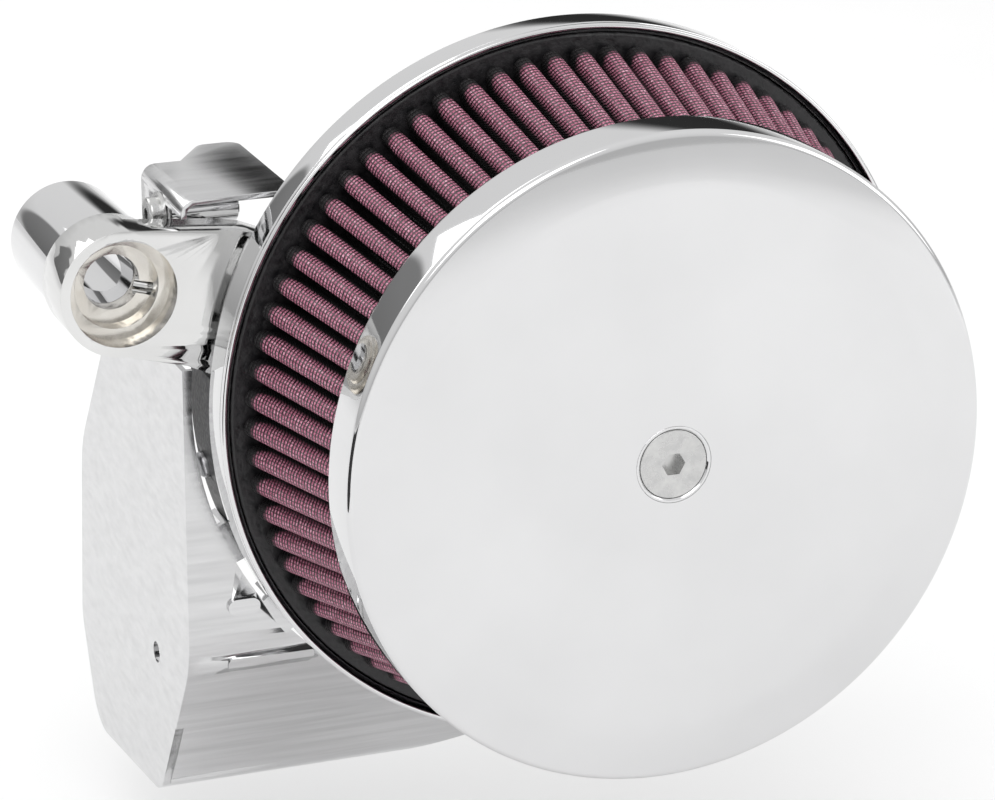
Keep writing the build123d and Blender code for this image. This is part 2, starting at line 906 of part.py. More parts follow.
def make_bracket():
    """Support bracket: a flat top with a tongue, and a flange bent down on its left."""
    points, roundings = bracket_plate()
    height = bracket_top - bracket_flange_bottom
    block = extrude(outline(points, roundings), -height)
    block = Pos(0, 0, bracket_top) * block
    edge = block.edges().filter_by(Axis.Y).group_by(Axis.X)[0].sort_by(Axis.Z)[-1]
    block = fillet(edge, bracket_bend)
    inside_points = [(x + bracket_sheet, y) for x, y in points]
    inner_block = Box(
        bracket_width + 10.0,
        bracket_length + bracket_tongue + 20.0,
        height + 10.0,
        align=(Align.MIN, Align.MIN, Align.MAX),
    )
    corner = (inside_points[0][0], bracket_front - 10.0, bracket_top - bracket_sheet)
    inner_block = Pos(*corner) * inner_block
    bend_edge = inner_block.edges().filter_by(Axis.Y).group_by(Axis.X)[0].sort_by(Axis.Z)[-1]
    inner_block = fillet(bend_edge, bracket_bend - bracket_sheet)
    bracket = block - inner_block
    arm_top = boss_z + boss_radius
    relief_depth = base_rear - bracket_front + bracket_arm_gap
    relief = Box(
        4 * bracket_sheet,
        relief_depth + 10.0,
        arm_top + bracket_arm_gap - bracket_flange_bottom + 10.0,
        align=(Align.CENTER, Align.MIN, Align.MIN),
    )
    relief_at = (bracket_left, bracket_front - 10.0, bracket_flange_bottom - 10.0)
    bracket = bracket - Pos(*relief_at) * relief
    foot = Box(
        bracket_foot_width,
        bracket_sheet,
        barrel_level - barrel_radius - 1.0 - bracket_flange_bottom,
        align=(Align.MIN, Align.MIN, Align.MIN),
    )
    foot_at = (bracket_left, base_rear, bracket_flange_bottom)
    bracket = bracket + Pos(*foot_at) * foot
    hole = Cylinder(m5_radius + hole_margin, 4 * bracket_sheet)
    bracket = bracket - facing(bracket_left, barrel_y, barrel_level, (1, 0, 0)) * hole
    x, z = bracket_foot_place()
    return bracket - column(m5_radius + hole_margin, base_rear + 10.0, base_rear - 1.0, x, z)


barrel_y = base_rear + barrel_back


def bracket_foot_place():
    """Where the bracket's foot is screwed to the back of the arm, in X and Z."""
    top = barrel_level - barrel_radius - 1.0
    return (
        bracket_left + bracket_foot_width * 0.58,
        (bracket_flange_bottom + top) / 2,
    )


def bracket_foot_hole():
    """The threaded hole in the back of the arm for the bracket's foot."""
    x, z = bracket_foot_place()
    return column(base_hub_hole_radius, base_rear, base_rear - 9.0, x, z)


def make_foot_screw():
    """Screw that holds the bracket's foot to the back of the arm."""
    x, z = bracket_foot_place()
    under_head = base_rear + bracket_sheet
    return facing(x, under_head, z, (0, 1, 0)) * m5_screw(8.0 + bracket_sheet)


def make_washer():
    """Flat washer under the bracket screw's head."""
    ring = Cylinder(washer_radius, washer_thickness) - Cylinder(
        m5_radius + hole_margin, 2 * washer_thickness
    )
    middle = bracket_left - washer_thickness / 2
    return facing(middle, barrel_y, barrel_level, (-1, 0, 0)) * ring


def make_bracket_screw():
    """Screw through the bracket's flange into the barrel."""
    under_head = facing(bracket_left - washer_thickness, barrel_y, barrel_level, (-1, 0, 0))
    return under_head * m5_screw(washer_thickness + bracket_sheet + 6.0)


def make_barrel():
    """Threaded barrel under the bracket's top."""
    left = bracket_left + bracket_sheet
    foot = (Align.CENTER, Align.CENTER, Align.MIN)
    barrel = Cylinder(barrel_radius, barrel_length, align=foot)
    barrel = chamfer(barrel.edges().filter_by(GeomType.CIRCLE), 0.4)
    thread = Cylinder(base_hub_hole_radius, barrel_thread_depth, align=foot)
    barrel = barrel - thread - Pos(0, 0, barrel_length - barrel_thread_depth) * thread
    return facing(left, barrel_y, barrel_level, (1, 0, 0)) * barrel


def write(name, shape):
    """Writes one piece to its own STEP file."""
    export_step(shape, f"parts/{name}.step")


write("neck_adapter", make_neck())
write("neck_o_ring", make_neck_o_ring())
write("neck_screws", make_neck_screws())
write("base_plate", make_base_plate())
write("rim_screws", radial_screws(rim_screw_angles, lobe_radius, 5.0))
write("back_plate", make_back_plate())
write("plate_screws", front_screws(plate_screw_places(), floor_front, pan_floor + 12.0))
write("arm_screws", front_screws(foot_screw_places(), floor_front, pan_floor + 12.0))
write("mounting_arm", make_arm())
write("breather_o_ring", make_breather_o_ring())
write("spacer_tube", make_tube())
write("post_bridge", make_bridge())
bridge_screw_places = [polar(bridge_screw_radius, angle) for angle in bridge_angles()]
bridge_screw_length = bridge_thickness + pan_floor + 10.0
write("bridge_screws", front_screws(bridge_screw_places, bridge_front, bridge_screw_length))
write("center_post", make_post())
write("throttle_shroud", make_shroud())
tab_face = lobe_radius + o_ring_play + sheet
write("shroud_screws", radial_screws(tab_angles, tab_face, 5.0 + sheet))
write("top_bracket", make_bracket())
write("bracket_washer", make_washer())
write("bracket_screw", make_bracket_screw())
write("bracket_barrel", make_barrel())
write("bracket_foot_screw", make_foot_screw())
write("filter_media", make_media())
write("outer_mesh", make_mesh())
write("inner_cage", make_cage())
write("base_ring", make_base_ring())
write("front_ring", make_front_ring())
write("front_cover", make_cover())
write("screw_seat", make_seat())
write("cover_screw", make_cover_screw())
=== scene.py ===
# %% [markdown]
# # A chromed motorcycle air cleaner
# The frame holds every part of the air cleaner at its real size, with the filter's axis
# along Y and the cover facing -Y. This lesson gives those parts their looks: the chrome is
# rebuilt as smooth turned surfaces, the pleats become rounded gauze under wire mesh, and
# each finish gets its own procedural material.

import json
import math

import bmesh
import bpy
import numpy as np
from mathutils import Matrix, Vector

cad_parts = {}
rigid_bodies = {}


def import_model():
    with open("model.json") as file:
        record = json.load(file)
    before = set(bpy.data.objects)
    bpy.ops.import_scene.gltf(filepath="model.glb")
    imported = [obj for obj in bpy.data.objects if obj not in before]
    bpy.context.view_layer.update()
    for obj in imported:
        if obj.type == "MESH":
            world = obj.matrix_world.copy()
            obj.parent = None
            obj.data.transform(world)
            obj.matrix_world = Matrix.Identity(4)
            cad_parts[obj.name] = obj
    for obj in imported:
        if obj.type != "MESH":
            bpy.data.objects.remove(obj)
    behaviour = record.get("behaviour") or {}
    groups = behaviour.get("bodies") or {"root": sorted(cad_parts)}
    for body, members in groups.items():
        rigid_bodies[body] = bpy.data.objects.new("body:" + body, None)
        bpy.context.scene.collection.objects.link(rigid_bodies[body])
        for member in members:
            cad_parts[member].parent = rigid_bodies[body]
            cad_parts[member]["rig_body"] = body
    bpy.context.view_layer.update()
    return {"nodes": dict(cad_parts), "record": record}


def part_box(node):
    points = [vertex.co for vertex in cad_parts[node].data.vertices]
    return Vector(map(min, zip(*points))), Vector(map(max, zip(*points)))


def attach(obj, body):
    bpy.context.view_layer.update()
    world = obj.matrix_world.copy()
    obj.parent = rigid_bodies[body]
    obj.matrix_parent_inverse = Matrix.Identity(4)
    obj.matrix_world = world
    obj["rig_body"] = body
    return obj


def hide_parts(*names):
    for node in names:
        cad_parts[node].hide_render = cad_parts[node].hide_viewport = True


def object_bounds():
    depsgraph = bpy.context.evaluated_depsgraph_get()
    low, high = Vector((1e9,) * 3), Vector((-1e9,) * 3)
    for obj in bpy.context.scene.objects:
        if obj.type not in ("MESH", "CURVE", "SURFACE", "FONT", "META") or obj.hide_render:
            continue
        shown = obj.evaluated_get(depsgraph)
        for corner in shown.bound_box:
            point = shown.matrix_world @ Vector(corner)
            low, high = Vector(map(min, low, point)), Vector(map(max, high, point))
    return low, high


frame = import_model()
nodes = frame["nodes"]
print("loaded", len(nodes), "parts")

# %% [markdown]
# ## Places along the axis
# Every new surface takes its place from the parts' boxes, so nothing is fitted by eye.

# %% Read the places
MM = 0.001
cover_low, cover_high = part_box("front_cover")
pan_low, pan_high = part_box("back_plate")
mesh_low, mesh_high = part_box("outer_mesh")
tube_low, tube_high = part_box("spacer_tube")
seat_low, seat_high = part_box("screw_seat")
cover_radius = (cover_high[0] - cover_low[0]) / 2
pan_radius = (pan_high[0] - pan_low[0]) / 2
ridge_radius = (mesh_high[0] - mesh_low[0]) / 2
print("cover radius %.1f mm, pan radius %.1f mm" % (cover_radius / MM, pan_radius / MM))

# %% [markdown]
# ## Surfaces from grids
# A turned part is one outline carried round an axis. A grid of points, worked out as whole
# arrays, is enough for it, and for the pleats too. The helper below turns such a grid into
# a mesh: each cell between four neighbours becomes one face.


# %% The grid helper
def grid_object(name, points, wrap_u=False, wrap_v=False, smooth=True, uv=None):
    """A mesh from points[u, v]: every cell of the grid is a quad, and a wrapped side joins up."""
    nu, nv = points.shape[:2]
    cu = np.arange(nu if wrap_u else nu - 1)
    cv = np.arange(nv if wrap_v else nv - 1)
    u, v = np.meshgrid(cu, cv, indexing="ij")
    un, vn = (u + 1) % nu, (v + 1) % nv
    quads = np.stack([u * nv + v, un * nv + v, un * nv + vn, u * nv + vn], -1).reshape(-1, 4)
    mesh = bpy.data.meshes.new(name)
    mesh.vertices.add(nu * nv)
    mesh.vertices.foreach_set("co", points.reshape(-1).astype(np.float32))
    mesh.loops.add(quads.size)
    mesh.loops.foreach_set("vertex_index", quads.reshape(-1).astype(np.int32))
    mesh.polygons.add(len(quads))
    mesh.polygons.foreach_set("loop_start", np.arange(0, quads.size, 4, dtype=np.int32))
    mesh.update(calc_edges=True)
    if uv is not None:
        layer = mesh.uv_layers.new(name="weave")
        layer.data.foreach_set("uv", uv.reshape(-1, 2)[quads.reshape(-1)].reshape(-1).astype(np.float32))
    mesh.polygons.foreach_set("use_smooth", np.full(len(quads), smooth))
    mesh.validate()
    piece = bpy.data.objects.new(name, mesh)
    bpy.context.scene.collection.objects.link(piece)
    return piece


# %% [markdown]
# ## Outlines with rounded corners
# Real edges are rounded, and on chrome the rounding is what catches the light. An outline
# is given as corners with a radius each; each corner is swapped for a short arc.


# %% The outline helper
def rounded(corners, steps=8):
    """Corners (radius, y, rounding) in mm: each corner becomes an arc tangent to both its sides."""
    count = len(corners)
    path = []
    for i, (x, y, r) in enumerate(corners):
        p = np.array([x, y], float)
        a = np.array(corners[i - 1][:2], float) - p
        b = np.array(corners[(i + 1) % count][:2], float) - p
        a, b = a / np.linalg.norm(a), b / np.linalg.norm(b)
        half = math.acos(float(np.clip(a @ b, -1, 1))) / 2
        if r <= 0 or half > 1.55:
            path.append(p[None])
            continue
        reach = r / math.tan(half)
        middle = p + (a + b) / np.linalg.norm(a + b) * r / math.sin(half)
        start, end = p + a * reach - middle, p + b * reach - middle
        turn = math.atan2(start[0] * end[1] - start[1] * end[0], float(start @ end))
        t = np.linspace(0, turn, steps)
        spun = np.stack(
            [start[0] * np.cos(t) - start[1] * np.sin(t), start[0] * np.sin(t) + start[1] * np.cos(t)], -1
        )
        path.append(middle + spun)
    return np.concatenate(path)


def lathe(name, outline, segments=256, centre=(0.0, 0.0)):
    """Every point (r, y) of a closed outline goes to (r cos a, y, r sin a) for a round the circle."""
    angle = np.linspace(0, 2 * np.pi, segments, endpoint=False)
    r, y = outline[:, 0] * MM, outline[:, 1] * MM
    x = centre[0] + np.cos(angle)[:, None] * r
    z = centre[1] + np.sin(angle)[:, None] * r
    points = np.stack([x, np.broadcast_to(y, x.shape), z], -1)
    piece = grid_object(name, points, wrap_u=True, wrap_v=True)
    work = bmesh.new()
    work.from_mesh(piece.data)
    bmesh.ops.remove_doubles(work, verts=work.verts, dist=1e-7)
    bmesh.ops.recalc_face_normals(work, faces=work.faces)
    work.to_mesh(piece.data)
    work.free()
    piece.data.set_sharp_from_angle(angle=math.radians(25))
    return piece


# %% [markdown]
# ## Chrome
# Chrome is a bare mirror, so its look is what it reflects. The material adds the two faults
# that real plating has: a faint waviness, and a roughness that changes from place to place.


# %% The material helpers
def new_material(name):
    """A node material with its Principled shader and Object coordinates ready."""
    material = bpy.data.materials.new(name)
    material.use_nodes = True
    tree = material.node_tree
    shader = tree.nodes["Principled BSDF"]
    coords = tree.nodes.new("ShaderNodeTexCoord")
    return material, tree, shader, coords


def noise(tree, vector, scale, detail=3.0, stretch=(1, 1, 1)):
    """A noise pattern on stretched coordinates."""
    mapping = tree.nodes.new("ShaderNodeMapping")
    mapping.inputs["Scale"].default_value = stretch
    texture = tree.nodes.new("ShaderNodeTexNoise")
    texture.inputs["Scale"].default_value = scale
    texture.inputs["Detail"].default_value = detail
    tree.links.new(vector, mapping.inputs["Vector"])
    tree.links.new(mapping.outputs["Vector"], texture.inputs["Vector"])
    return texture.outputs["Fac"]


def ramp(tree, value, stops):
    """A colour ramp through (place, grey or colour) stops."""
    node = tree.nodes.new("ShaderNodeValToRGB")
    elements = node.color_ramp.elements
    for i, (place, colour) in enumerate(stops):
        element = elements[i] if i < 2 else elements.new(place)
        element.position = place
        grey = colour if isinstance(colour, tuple) else (colour, colour, colour)
        element.color = (*grey, 1)
    tree.links.new(value, node.inputs["Fac"])
    return node.outputs["Color"]


def bump(tree, shader, height, strength, distance):
    """A bump from a height pattern, wired to the shader's normal."""
    node = tree.nodes.new("ShaderNodeBump")
    node.inputs["Strength"].default_value = strength
    node.inputs["Distance"].default_value = distance
    tree.links.new(height, node.inputs["Height"])
    tree.links.new(node.outputs["Normal"], shader.inputs["Normal"])


def metal(name, colour_low, colour_high, rough_low, rough_high, scale=60.0, stretch=(1, 1, 1), wave=0.02):
    """A metal whose colour, roughness and surface all drift with one noise pattern."""
    material, tree, shader, coords = new_material(name)
    shader.inputs["Metallic"].default_value = 1.0
    pattern = noise(tree, coords.outputs["Object"], scale, 4.0, stretch)
    tree.links.new(ramp(tree, pattern, [(0.3, colour_low), (0.7, colour_high)]), shader.inputs["Base Color"])
    tree.links.new(ramp(tree, pattern, [(0.3, rough_low), (0.7, rough_high)]), shader.inputs["Roughness"])
    bump(tree, shader, pattern, wave, 0.0004)
    return material


chrome = metal("chrome", (0.68, 0.68, 0.685), (0.72, 0.72, 0.725), 0.035, 0.06, 22.0, wave=0.015)
machined = metal("machined_aluminium", (0.56, 0.53, 0.48), (0.78, 0.76, 0.72), 0.14, 0.26, 150.0, wave=0.08)
polished = metal("polished_aluminium", (0.66, 0.66, 0.655), (0.73, 0.73, 0.725), 0.05, 0.09, 30.0, wave=0.03)
screw_steel = metal("screw_steel", (0.50, 0.50, 0.50), (0.64, 0.64, 0.63), 0.22, 0.34, 300.0, wave=0.06)
zinc = metal("zinc_steel", (0.50, 0.50, 0.51), (0.62, 0.62, 0.64), 0.28, 0.42, 200.0, wave=0.08)
sheet_chrome = metal(
    "brushed_sheet", (0.56, 0.56, 0.565), (0.68, 0.68, 0.685), 0.10, 0.22, 60.0, (0.4, 3.0, 9.0), wave=0.05
)
print("metals ready")

# %% [markdown]
# ## Rubber and casting
# Moulded rubber is nearly black with a soft sheen, and powder coat is a fine orange peel.


# %% Rubber and black coat
def dark(name, low, high, rough_low, rough_high, scale, strength):
    """A dark coating: two near-black tones and a fine bump from one noise."""
    material, tree, shader, coords = new_material(name)
    pattern = noise(tree, coords.outputs["Object"], scale, 5.0)
    tree.links.new(ramp(tree, pattern, [(0.35, low), (0.7, high)]), shader.inputs["Base Color"])
    tree.links.new(ramp(tree, pattern, [(0.3, rough_low), (0.7, rough_high)]), shader.inputs["Roughness"])
    bump(tree, shader, pattern, strength, 0.0006)
    return material


rubber = dark("black_rubber", (0.006, 0.006, 0.007), (0.022, 0.020, 0.022), 0.28, 0.5, 420.0, 0.5)
casting = dark("black_coat", (0.008, 0.008, 0.009), (0.018, 0.018, 0.02), 0.3, 0.45, 900.0, 0.3)
print("dark finishes ready")

# %% [markdown]
# ## Gauze under wire mesh
# The pleats are oiled red gauze held by a fine black wire mesh. Modelling each wire would
# take millions of faces, so the wires are drawn on the pleats' own UV map: U runs across
# the pleat and V along it, both in millimetres. Rows of wire bow over the crest.


# %% The gauze material
def line_pattern(tree, value, pitch, width):
    """1 on a wire and 0 between wires: the distance to the nearest multiple of the pitch."""
    ping = tree.nodes.new("ShaderNodeMath")
    ping.operation = "PINGPONG"
    ping.inputs[1].default_value = pitch / 2
    tree.links.new(value, ping.inputs[0])
    near = tree.nodes.new("ShaderNodeMapRange")
    near.interpolation_type = "SMOOTHSTEP"
    near.inputs["From Min"].default_value = width * 0.35
    near.inputs["From Max"].default_value = width
    near.inputs["To Min"].default_value = 1.0
    near.inputs["To Max"].default_value = 0.0
    tree.links.new(ping.outputs[0], near.inputs["Value"])
    return near.outputs["Result"]


def math_node(tree, operation, first, second):
    """One sum on two values or numbers."""
    node = tree.nodes.new("ShaderNodeMath")
    node.operation = operation
    for socket, value in zip(node.inputs, (first, second)):
        if isinstance(value, (int, float)):
            socket.default_value = value
        else:
            tree.links.new(value, socket)
    return node.outputs[0]


def gauze_material():
    """Crimson gauze, black wires over it, black rubber at a pleat's base end, and painted shade that
    blackens the valleys.
    """
    material, tree, shader, coords = new_material("red_gauze")
    uv = tree.nodes.new("ShaderNodeUVMap")
    uv.uv_map = "weave"
    split = tree.nodes.new("ShaderNodeSeparateXYZ")
    tree.links.new(uv.outputs["UV"], split.inputs[0])
    across, along = split.outputs[0], split.outputs[1]
    curved = math_node(tree, "MULTIPLY", math_node(tree, "MULTIPLY", across, across), 0.13)
    wobble = noise(tree, coords.outputs["Object"], 300.0, 3.0)
    bowed = math_node(tree, "ADD", along, curved)
    rows = math_node(tree, "ADD", bowed, math_node(tree, "MULTIPLY", wobble, 0.9))
    cross_wires = line_pattern(tree, rows, 1.3, 0.40)
    columns = math_node(tree, "ADD", across, math_node(tree, "MULTIPLY", wobble, 0.5))
    long_wires = math_node(tree, "MULTIPLY", line_pattern(tree, columns, 1.1, 0.24), 0.75)
    wires = math_node(tree, "MAXIMUM", cross_wires, long_wires)
    fibre = noise(tree, coords.outputs["Object"], 1500.0, 4.0)
    crimsons = [(0.30, (0.30, 0.07, 0.13)), (0.52, (0.56, 0.19, 0.29)), (0.72, (0.90, 0.55, 0.66))]
    gauze = ramp(tree, fibre, crimsons)
    wired = tree.nodes.new("ShaderNodeMix")
    wired.data_type = "RGBA"
    wired.inputs["B"].default_value = (0.012, 0.010, 0.012, 1)
    tree.links.new(wires, wired.inputs["Factor"])
    tree.links.new(gauze, wired.inputs["A"])
    # Painted shade: this attribute blackens the valleys as well as marking the rubber-cast base ends.
    dip_and_valley_shade = tree.nodes.new("ShaderNodeAttribute")
    dip_and_valley_shade.attribute_name = "dip_and_valley_shade"
    black = tree.nodes.new("ShaderNodeMix")
    black.data_type = "RGBA"
    black.inputs["B"].default_value = (0.010, 0.009, 0.010, 1)
    ragged = math_node(tree, "ADD", dip_and_valley_shade.outputs["Fac"], math_node(tree, "MULTIPLY", fibre, 0.5))
    tree.links.new(ramp(tree, ragged, [(0.45, 0.0), (0.85, 1.0)]), black.inputs["Factor"])
    tree.links.new(wired.outputs["Result"], black.inputs["A"])
    tree.links.new(black.outputs["Result"], shader.inputs["Base Color"])
    tree.links.new(ramp(tree, wires, [(0.0, 0.75), (1.0, 0.32)]), shader.inputs["Roughness"])
    bump(tree, shader, wires, 0.8, 0.0003)
    return material


gauze = gauze_material()
print("gauze ready")

# %% [markdown]
# ## The cover
# The cover is a pressed pan with a flat plateau, a border that slopes gently back, and a
# short wall. Its outline is turned once round the axis at 384 steps, so that the mirror
# shows no facets.

# %% Turn the cover
face = cover_low[1] / MM
rim = cover_high[1] / MM
R = cover_radius / MM
cover_outline = rounded(
    [
        (0.02, face, 0),
        (73.0, face, 50.0),
        (R, face + 1.2, 1.8),
        (R, rim - 1.2, 0.25),
        (R - 0.35, rim - 0.8, 0.2),
        (R - 0.35, rim, 0.3),
        (R - 2.0, rim, 0.6),
        (R - 2.0, face + 3.0, 1.0),
        (14.0, face + 3.0, 1.0),
        (14.0, face + 8.0, 0.8),
        (5.1, face + 8.0, 0.2),
        (5.1, face + 6.4, 0),
        (10.6, face + 6.4, 0),
        (10.6, face + 0.02, 0.3),
    ]
)
cover_outline = np.concatenate([cover_outline[1:], np.array([[10.9, face]])])
cover = lathe("cover_shell", cover_outline, 384)
cover.data.materials.append(chrome)
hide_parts("front_cover")
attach(cover, "cover")
print("cover", len(cover.data.polygons), "faces")

# %% [markdown]
# ## The screw's seat
# A thin finishing ring with a bevelled lip stands round the screw's head.

# %% Turn the seat
seat_face = seat_low[1] / MM
seat_back = seat_high[1] / MM
seat = lathe(
    "seat_ring",
    rounded(
        [
            (10.5, seat_face + 0.32, 0.12),
            (10.5, seat_back, 0.3),
            (4.87, seat_back, 0.2),
            (4.87, seat_face + 5.5, 0.2),
            (9.25, seat_face + 0.75, 0.1),
            (9.25, seat_face + 0.4, 0.1),
            (9.65, seat_face, 0.1),
            (10.18, seat_face, 0.12),
        ],
        4,
    ),
    128,
)
seat.data.materials.append(chrome)
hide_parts("screw_seat")
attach(seat, "cover")
print("seat", len(seat.data.polygons), "faces")

# %% [markdown]
# ## The back plate
# The pan's wall is a mirror band. A hairline groove runs just behind its front lip, and the
# lip rolls inwards to a bevel.

# %% Turn the back plate
P = pan_radius / MM
lip, pan_back = pan_low[1] / MM, pan_high[1] / MM
pan_outline = rounded(
    [
        (30.2, pan_back, 0.2),
        (96.5, pan_back, 0.4),
        (96.5, pan_back - 4.3, 0.2),
        (P, pan_back - 4.3, 0.5),
        (P, lip + 1.9, 0.15),
        (P - 0.4, lip + 1.7, 0.1),
        (P - 0.4, lip + 1.4, 0.1),
        (P - 0.12, lip + 1.2, 0.1),
        (P - 0.12, lip, 0.6),
        (P - 1.3, lip, 0.5),
        (P - 2.62, lip + 1.9, 0.6),
        (P - 2.62, pan_back - 6.82, 0.4),
        (30.2, pan_back - 6.82, 0.2),
    ],
    6,
)
pan = lathe("pan_band", pan_outline, 384)
pan.data.materials.append(chrome)
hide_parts("back_plate")
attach(pan, "base")
print("pan", len(pan.data.polygons), "faces")

# %% [markdown]
# ## The spacer tube
# A plain polished tube with rounded rims.

# %% Turn the tube
tube_centre = ((tube_low[0] + tube_high[0]) / 2, (tube_low[2] + tube_high[2]) / 2)
T = (tube_high[0] - tube_low[0]) / 2 / MM
front_of_tube, back_of_tube = tube_low[1] / MM, tube_high[1] / MM
tube = lathe(
    "tube_spacer",
    rounded(
        [
            (T, front_of_tube, 0.2),
            (T, back_of_tube, 0.9),
            (7.5, back_of_tube, 0.6),
            (7.5, front_of_tube, 0.2),
        ]
    ),
    192,
    tube_centre,
)
tube.data.materials.append(chrome)
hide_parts("spacer_tube")
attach(tube, "base")
print("tube", len(tube.data.polygons), "faces")

# %% [markdown]
# ## The pleats
# One pleat is an outline across: up a steep flank, round a half-circle crest and down the
# other flank into the valley. That outline is set round the circle once for each pleat and
# carried along the cone, and its crest dips under at the base, where it is cast in rubber.

# %% Carry the pleats along the cone
PLEATS = 72
TAPER = 0.847
DEPTH = 12.3 * MM
HALF = 2.55 * MM


def pleat_section(crest_steps=11, flank_steps=4):
    """Across (t) and down (d) of one pleat: flanks at +-HALF, then t = HALF sin a, d = HALF(1 - cos a)."""
    a = np.linspace(-np.pi / 2, np.pi / 2, crest_steps)
    crest_t, crest_d = HALF * np.sin(a), HALF * (1 - np.cos(a))
    down = np.linspace(DEPTH, HALF, flank_steps, endpoint=False)
    t = np.concatenate([np.full(flank_steps, -HALF), crest_t, np.full(flank_steps, HALF)])
    d = np.concatenate([down, crest_d, down[::-1]])
    return t, d


def build_pleats():
    """Point = (rho, t) turned to each pleat's angle; rho and t shrink with the cone towards the front."""
    t, d = pleat_section()
    length = mesh_high[1] - mesh_low[1]
    near_base, further = np.linspace(0, 3.2 * MM, 9), np.linspace(4.5 * MM, length, 16)
    rows = np.concatenate([near_base, further])
    share = 1 - (1 - TAPER) * rows / length
    dip = 2.6 * MM
    nub = np.sqrt(np.clip(1 - np.clip((dip - rows) / dip, 0, 1) ** 2, 0, 1))
    angle = np.linspace(0, 2 * np.pi, PLEATS, endpoint=False)
    depth = DEPTH - (DEPTH - d)[None, :] * (0.55 + 0.45 * nub)[:, None]
    rho = (ridge_radius - depth) * share[:, None]
    across = t[None, :] * share[:, None] * (0.75 + 0.25 * nub)[:, None]
    c, s = np.cos(angle)[:, None, None], np.sin(angle)[:, None, None]
    x, z = c * rho - s * across, s * rho + c * across
    y = np.broadcast_to(mesh_high[1] - rows[None, :, None], x.shape)
    points = np.stack([x, y, z], -1).transpose(0, 2, 1, 3).reshape(-1, len(rows), 3)
    steps = np.hypot(np.diff(t), np.diff(d))
    u = np.concatenate([[0], np.cumsum(steps)])
    u = (u - u[-1] / 2) / MM
    uu = np.tile(u, PLEATS)[:, None] * np.ones(len(rows))
    vv = np.ones(len(u) * PLEATS)[:, None] * rows / MM
    # Painted shade: from 2 mm down, the valleys fade to black; the black base end is the real rubber.
    shade_depth, black_end, fade = 2.0, 7.4, 4.0
    valley_shade = np.tile(np.clip((d / MM - shade_depth) / fade, 0, 1), PLEATS)[:, None]
    end = np.clip((black_end - rows / MM) / fade, 0, 1)[None, :]
    dip_and_valley_shade = np.clip(np.maximum(valley_shade * 0.93, end * 0.97), 0, 1)
    return points, np.stack([uu, vv], -1), dip_and_valley_shade


points, weave, dip_and_valley_shade = build_pleats()
pleats = grid_object("pleated_gauze", points[:, ::-1], wrap_u=True, uv=weave[:, ::-1])
# This attribute carries the rubber-cast ends and the painted shade in the valleys.
layer = pleats.data.attributes.new("dip_and_valley_shade", "FLOAT", "POINT")
layer.data.foreach_set("value", dip_and_valley_shade[:, ::-1].reshape(-1).astype(np.float32))
pleats.data.materials.append(gauze)
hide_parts("filter_media", "outer_mesh")
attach(pleats, "element")
print("pleats", len(pleats.data.polygons), "faces")

# %% [markdown]
# ## Sheet and cast parts
# The arm, the shroud and the bracket already have their true shape in the frame. Each is copied
# and merged; on the arm and the bracket the small edges are bevelled, so that mirrors meet in a
# bright line, not a knife edge, and the other copies only have their sharp edges marked. The
# arm's boss is bored on a lathe, so its inside has the warmer, duller finish of a cut surface.


# %% Refine the cast and folded parts
def refined(node, name, material, width, angle=35.0):
    """A merged copy of a part, with its flat triangles joined and its sharp edges rounded by width."""
    mesh = nodes[node].data.copy()
    work = bmesh.new()
    work.from_mesh(mesh)
    bmesh.ops.remove_doubles(work, verts=work.verts, dist=2e-6)
    bmesh.ops.dissolve_limit(work, angle_limit=math.radians(0.5), verts=work.verts, edges=work.edges)
    work.to_mesh(mesh)
    work.free()
    mesh.polygons.foreach_set("use_smooth", np.ones(len(mesh.polygons), bool))
    mesh.materials.clear()
    mesh.materials.append(material)
    piece = bpy.data.objects.new(name, mesh)
    bpy.context.scene.collection.objects.link(piece)
    if width:
        bevel = piece.modifiers.new("edges", "BEVEL")
        bevel.width = width
        bevel.segments = 3
        bevel.limit_method = "ANGLE"
        bevel.angle_limit = math.radians(angle)
        bevel.harden_normals = True
        bevel.use_clamp_overlap = True
    else:
        mesh.set_sharp_from_angle(angle=math.radians(angle))
    return piece


def machine_bore(piece, material, centre, reach):
    """Faces whose corners all lie nearer than reach to an axis along Y get the machined finish."""
    mesh = piece.data
    mesh.materials.append(material)
    place = np.empty(len(mesh.vertices) * 3)
    mesh.vertices.foreach_get("co", place)
    place = place.reshape(-1, 3)
    away = np.hypot(place[:, 0] - centre[0], place[:, 2] - centre[1])
    corner = np.empty(len(mesh.loops), np.int32)
    mesh.loops.foreach_get("vertex_index", corner)
    first = np.empty(len(mesh.polygons), np.int32)
    mesh.polygons.foreach_get("loop_start", first)
    near = np.maximum.reduceat(away[corner], first) < reach
    mesh.polygons.foreach_set("material_index", near.astype(np.int32))
    print(int(near.sum()), "machined faces")


REFINED = (
    ("mounting_arm", "arm_casting", polished, 0.0005, "polished_aluminium"),
    ("throttle_shroud", "shroud_sheet", sheet_chrome, 0.0, "chrome"),
    ("top_bracket", "bracket_sheet", sheet_chrome, 0.0003, "brushed_plate"),
    ("base_plate", "base_casting", casting, 0.0, "black_casting"),
    ("bracket_barrel", "barrel", chrome, 0.0, "chrome"),
    ("neck_adapter", "neck_casting", casting, 0.0, "black_casting"),
    ("cover_screw", "socket_screw", screw_steel, 0.0, "screw_steel"),
)
for node, name, material, width, slot in REFINED:
    piece = refined(node, name, material, width)
    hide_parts(node)
    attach(piece, nodes[node]["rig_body"])
    if node == "mounting_arm":
        machine_bore(piece, machined, tube_centre, 14.6 * MM)
    print(name, len(piece.data.polygons), "faces")

# %% [markdown]
# ## Finishes for the parts that stay as they are
# The hidden screws, seals and rubber rings keep their frame shape and only take a finish.

